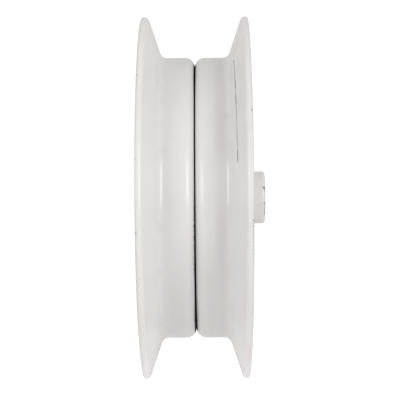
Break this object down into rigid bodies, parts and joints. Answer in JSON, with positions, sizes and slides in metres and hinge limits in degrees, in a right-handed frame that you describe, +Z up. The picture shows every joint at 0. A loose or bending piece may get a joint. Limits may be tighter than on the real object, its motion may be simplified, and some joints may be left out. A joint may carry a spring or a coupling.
{
  "type": "flanged strap pulley",
  "caption": "Flanged strap pulley of two pressed steel shells riveted round a sealed ball bearing, with a long hub bush on one side.",
  "frame": {"origin": "centre of the wheel on its axis, in the plane where the two shells meet", "axes": "+Y along the axis towards the side where the long hub bush stands out, +Z up"},
  "size_m": [0.152, 0.051, 0.152],
  "materials": {
    "shell_paint": "semi-gloss white paint",
    "bush_paint": "semi-gloss white paint",
    "rivet_paint": "semi-gloss white paint",
    "bearing_steel": "ground",
    "ball_steel": "polished",
    "cage_steel": "pressed",
    "seal_rubber": "matt"
  },
  "bodies": {
    "hub": {"long_bush": "bush_paint", "short_bush": "bush_paint", "bearing_inner_ring": "bearing_steel"},
    "wheel": {"left_shell": "shell_paint", "right_shell": "shell_paint", "bearing_outer_ring": "bearing_steel", "left_seal": "seal_rubber", "right_seal": "seal_rubber", "rivet_1": "rivet_paint", "rivet_2": "rivet_paint", "rivet_3": "rivet_paint", "rivet_4": "rivet_paint", "rivet_5": "rivet_paint", "rivet_6": "rivet_paint"},
    "cage": {"left_cage_half": "cage_steel", "right_cage_half": "cage_steel", "cage_rivets": "cage_steel"},
    "ball_1": {"ball_1": "ball_steel"},
    "ball_2": {"ball_2": "ball_steel"},
    "ball_3": {"ball_3": "ball_steel"},
    "ball_4": {"ball_4": "ball_steel"},
    "ball_5": {"ball_5": "ball_steel"},
    "ball_6": {"ball_6": "ball_steel"},
    "ball_7": {"ball_7": "ball_steel"},
    "ball_8": {"ball_8": "ball_steel"}
  },
  "joints": [
    {"name": "wheel_spin", "type": "hinge", "parent": "hub", "child": "wheel", "pos_m": [0, 0, 0], "axis": [0, 1, 0], "continuous": true},
    {"name": "cage_spin", "type": "hinge", "parent": "hub", "child": "cage", "pos_m": [0, 0, 0], "axis": [0, 1, 0], "continuous": true},
    {"name": "ball_1_spin", "type": "hinge", "parent": "cage", "child": "ball_1", "pos_m": [0.01425, 0, 0], "axis": [0, 1, 0], "continuous": true},
    {"name": "ball_2_spin", "type": "hinge", "parent": "cage", "child": "ball_2", "pos_m": [0.01008, 0, -0.01008], "axis": [0, 1, 0], "continuous": true},
    {"name": "ball_3_spin", "type": "hinge", "parent": "cage", "child": "ball_3", "pos_m": [0, 0, -0.01425], "axis": [0, 1, 0], "continuous": true},
    {"name": "ball_4_spin", "type": "hinge", "parent": "cage", "child": "ball_4", "pos_m": [-0.01008, 0, -0.01008], "axis": [0, 1, 0], "continuous": true},
    {"name": "ball_5_spin", "type": "hinge", "parent": "cage", "child": "ball_5", "pos_m": [-0.01425, 0, 0], "axis": [0, 1, 0], "continuous": true},
    {"name": "ball_6_spin", "type": "hinge", "parent": "cage", "child": "ball_6", "pos_m": [-0.01008, 0, 0.01008], "axis": [0, 1, 0], "continuous": true},
    {"name": "ball_7_spin", "type": "hinge", "parent": "cage", "child": "ball_7", "pos_m": [0, 0, 0.01425], "axis": [0, 1, 0], "continuous": true},
    {"name": "ball_8_spin", "type": "hinge", "parent": "cage", "child": "ball_8", "pos_m": [0.01008, 0, 0.01008], "axis": [0, 1, 0], "continuous": true}
  ],
  "couplings": [
    {"joint": "cage_spin", "follows": "wheel_spin", "ratio": 0.61842},
    {"joint": "ball_1_spin", "follows": "wheel_spin", "ratio": 1.9927},
    {"joint": "ball_2_spin", "follows": "wheel_spin", "ratio": 1.9927},
    {"joint": "ball_3_spin", "follows": "wheel_spin", "ratio": 1.9927},
    {"joint": "ball_4_spin", "follows": "wheel_spin", "ratio": 1.9927},
    {"joint": "ball_5_spin", "follows": "wheel_spin", "ratio": 1.9927},
    {"joint": "ball_6_spin", "follows": "wheel_spin", "ratio": 1.9927},
    {"joint": "ball_7_spin", "follows": "wheel_spin", "ratio": 1.9927},
    {"joint": "ball_8_spin", "follows": "wheel_spin", "ratio": 1.9927}
  ]
}
